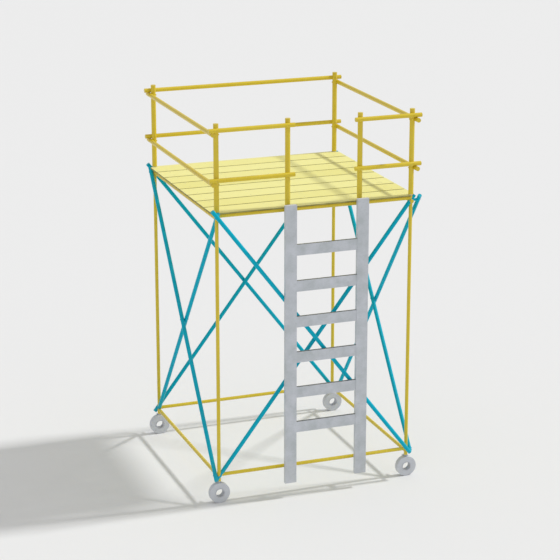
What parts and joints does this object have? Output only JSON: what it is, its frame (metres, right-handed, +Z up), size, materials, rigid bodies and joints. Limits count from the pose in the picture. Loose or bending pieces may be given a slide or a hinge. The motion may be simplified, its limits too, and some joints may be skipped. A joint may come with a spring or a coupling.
{
  "type": "mobile access tower",
  "caption": "Square scaffold tower on castors with a boarded deck, guardrails, crossed braces on each face and a ladder up to an entry gap.",
  "frame": {"origin": "on the ground under the middle of the whole outline", "axes": "+Z up along the posts, +X to the right along the ladder side, +Y from the ladder side to the back"},
  "size_m": [2.65, 2.6876, 4.56],
  "materials": {
    "yellow_paint": "glossy yellow enamel on steel tube",
    "cyan_paint": "glossy cyan enamel on steel tube",
    "cyan_plastic": "moulded cyan end plugs",
    "yellow_plastic": "moulded yellow caps and plugs",
    "zinc_steel": "dull zinc plated steel",
    "painted_board": "softwood planks with pale yellow paint",
    "ladder_aluminium": "grey anodised box section",
    "ladder_plastic": "grey moulded caps",
    "bumper_rubber": "black rubber pads",
    "grey_paint": "grey enamel on pressed steel",
    "wheel_nylon": "pale grey cast nylon"
  },
  "bodies": {
    "tower": {"front_legs": "yellow_paint", "back_legs": "yellow_paint", "front_corner_posts": "yellow_paint", "back_corner_posts": "yellow_paint", "entry_posts": "yellow_paint", "base_tube_front": "yellow_paint", "base_tube_back": "yellow_paint", "base_tubes_side": "yellow_paint", "deck_side_beams": "yellow_paint", "deck_beam_front": "yellow_paint", "deck_beam_back": "yellow_paint", "front_left_rails": "yellow_paint", "front_right_rails": "yellow_paint", "back_rails": "yellow_paint", "left_rails": "yellow_paint", "right_rails": "yellow_paint", "brace_front_outer": "cyan_paint", "brace_front_inner": "cyan_paint", "brace_back_outer": "cyan_paint", "brace_back_inner": "cyan_paint", "brace_left_outer": "cyan_paint", "brace_left_inner": "cyan_paint", "brace_right_outer": "cyan_paint", "brace_right_inner": "cyan_paint", "brace_screws_short": "cyan_paint", "brace_screws_long": "cyan_paint", "brace_crossing_rivets": "cyan_paint", "brace_spacers": "cyan_paint", "brace_end_plugs": "cyan_plastic", "rail_bolts": "yellow_paint", "rail_nuts": "yellow_paint", "rail_end_plugs": "yellow_plastic", "post_caps": "yellow_plastic", "post_spigots": "zinc_steel", "entry_post_saddles": "zinc_steel", "castor_stems": "zinc_steel", "deck_joists": "zinc_steel", "plank_screws": "zinc_steel", "plank_front": "painted_board", "planks_middle": "painted_board", "plank_back": "painted_board"},
    "ladder": {"ladder_stile_left": "ladder_aluminium", "ladder_stile_right": "ladder_aluminium", "ladder_rungs": "ladder_aluminium", "ladder_hooks": "ladder_aluminium", "ladder_standoffs": "ladder_aluminium", "ladder_stile_caps": "ladder_plastic", "ladder_bumpers": "bumper_rubber"},
    "castor_front_left": {"castor_yoke_front_left": "grey_paint"},
    "wheel_front_left": {"wheel_front_left": "wheel_nylon"},
    "brake_front_left": {"brake_lever_front_left": "grey_paint"},
    "castor_front_right": {"castor_yoke_front_right": "grey_paint"},
    "wheel_front_right": {"wheel_front_right": "wheel_nylon"},
    "brake_front_right": {"brake_lever_front_right": "grey_paint"},
    "castor_back_left": {"castor_yoke_back_left": "grey_paint"},
    "wheel_back_left": {"wheel_back_left": "wheel_nylon"},
    "brake_back_left": {"brake_lever_back_left": "grey_paint"},
    "castor_back_right": {"castor_yoke_back_right": "grey_paint"},
    "wheel_back_right": {"wheel_back_right": "wheel_nylon"},
    "brake_back_right": {"brake_lever_back_right": "grey_paint"}
  },
  "joints": [
    {"name": "ladder_swing", "type": "hinge", "parent": "tower", "child": "ladder", "pos_m": [0, -1.17932, 3.4935], "axis": [-1, 0, 0], "range_deg": [0, 20]},
    {"name": "castor_swivel_front_left", "type": "hinge", "parent": "tower", "child": "castor_front_left", "pos_m": [-1.2, -1.17932, 0.258], "axis": [0, 0, 1], "continuous": true},
    {"name": "wheel_spin_front_left", "type": "hinge", "parent": "castor_front_left", "child": "wheel_front_left", "pos_m": [-1.2, -1.17932, 0.125], "axis": [0, 1, 0], "continuous": true},
    {"name": "brake_lever_front_left", "type": "hinge", "parent": "castor_front_left", "child": "brake_front_left", "pos_m": [-1.2, -1.12732, 0.235], "axis": [1, 0, 0], "range_deg": [0, 25]},
    {"name": "castor_swivel_front_right", "type": "hinge", "parent": "tower", "child": "castor_front_right", "pos_m": [1.2, -1.17932, 0.258], "axis": [0, 0, 1], "continuous": true},
    {"name": "wheel_spin_front_right", "type": "hinge", "parent": "castor_front_right", "child": "wheel_front_right", "pos_m": [1.2, -1.17932, 0.125], "axis": [0, 1, 0], "continuous": true},
    {"name": "brake_lever_front_right", "type": "hinge", "parent": "castor_front_right", "child": "brake_front_right", "pos_m": [1.2, -1.12732, 0.235], "axis": [1, 0, 0], "range_deg": [0, 25]},
    {"name": "castor_swivel_back_left", "type": "hinge", "parent": "tower", "child": "castor_back_left", "pos_m": [-1.2, 1.22067, 0.258], "axis": [0, 0, 1], "continuous": true},
    {"name": "wheel_spin_back_left", "type": "hinge", "parent": "castor_back_left", "child": "wheel_back_left", "pos_m": [-1.2, 1.22067, 0.125], "axis": [0, 1, 0], "continuous": true},
    {"name": "brake_lever_back_left", "type": "hinge", "parent": "castor_back_left", "child": "brake_back_left", "pos_m": [-1.2, 1.27268, 0.235], "axis": [1, 0, 0], "range_deg": [0, 25]},
    {"name": "castor_swivel_back_right", "type": "hinge", "parent": "tower", "child": "castor_back_right", "pos_m": [1.2, 1.22067, 0.258], "axis": [0, 0, 1], "continuous": true},
    {"name": "wheel_spin_back_right", "type": "hinge", "parent": "castor_back_right", "child": "wheel_back_right", "pos_m": [1.2, 1.22067, 0.125], "axis": [0, 1, 0], "continuous": true},
    {"name": "brake_lever_back_right", "type": "hinge", "parent": "castor_back_right", "child": "brake_back_right", "pos_m": [1.2, 1.27268, 0.235], "axis": [1, 0, 0], "range_deg": [0, 25]}
  ]
}
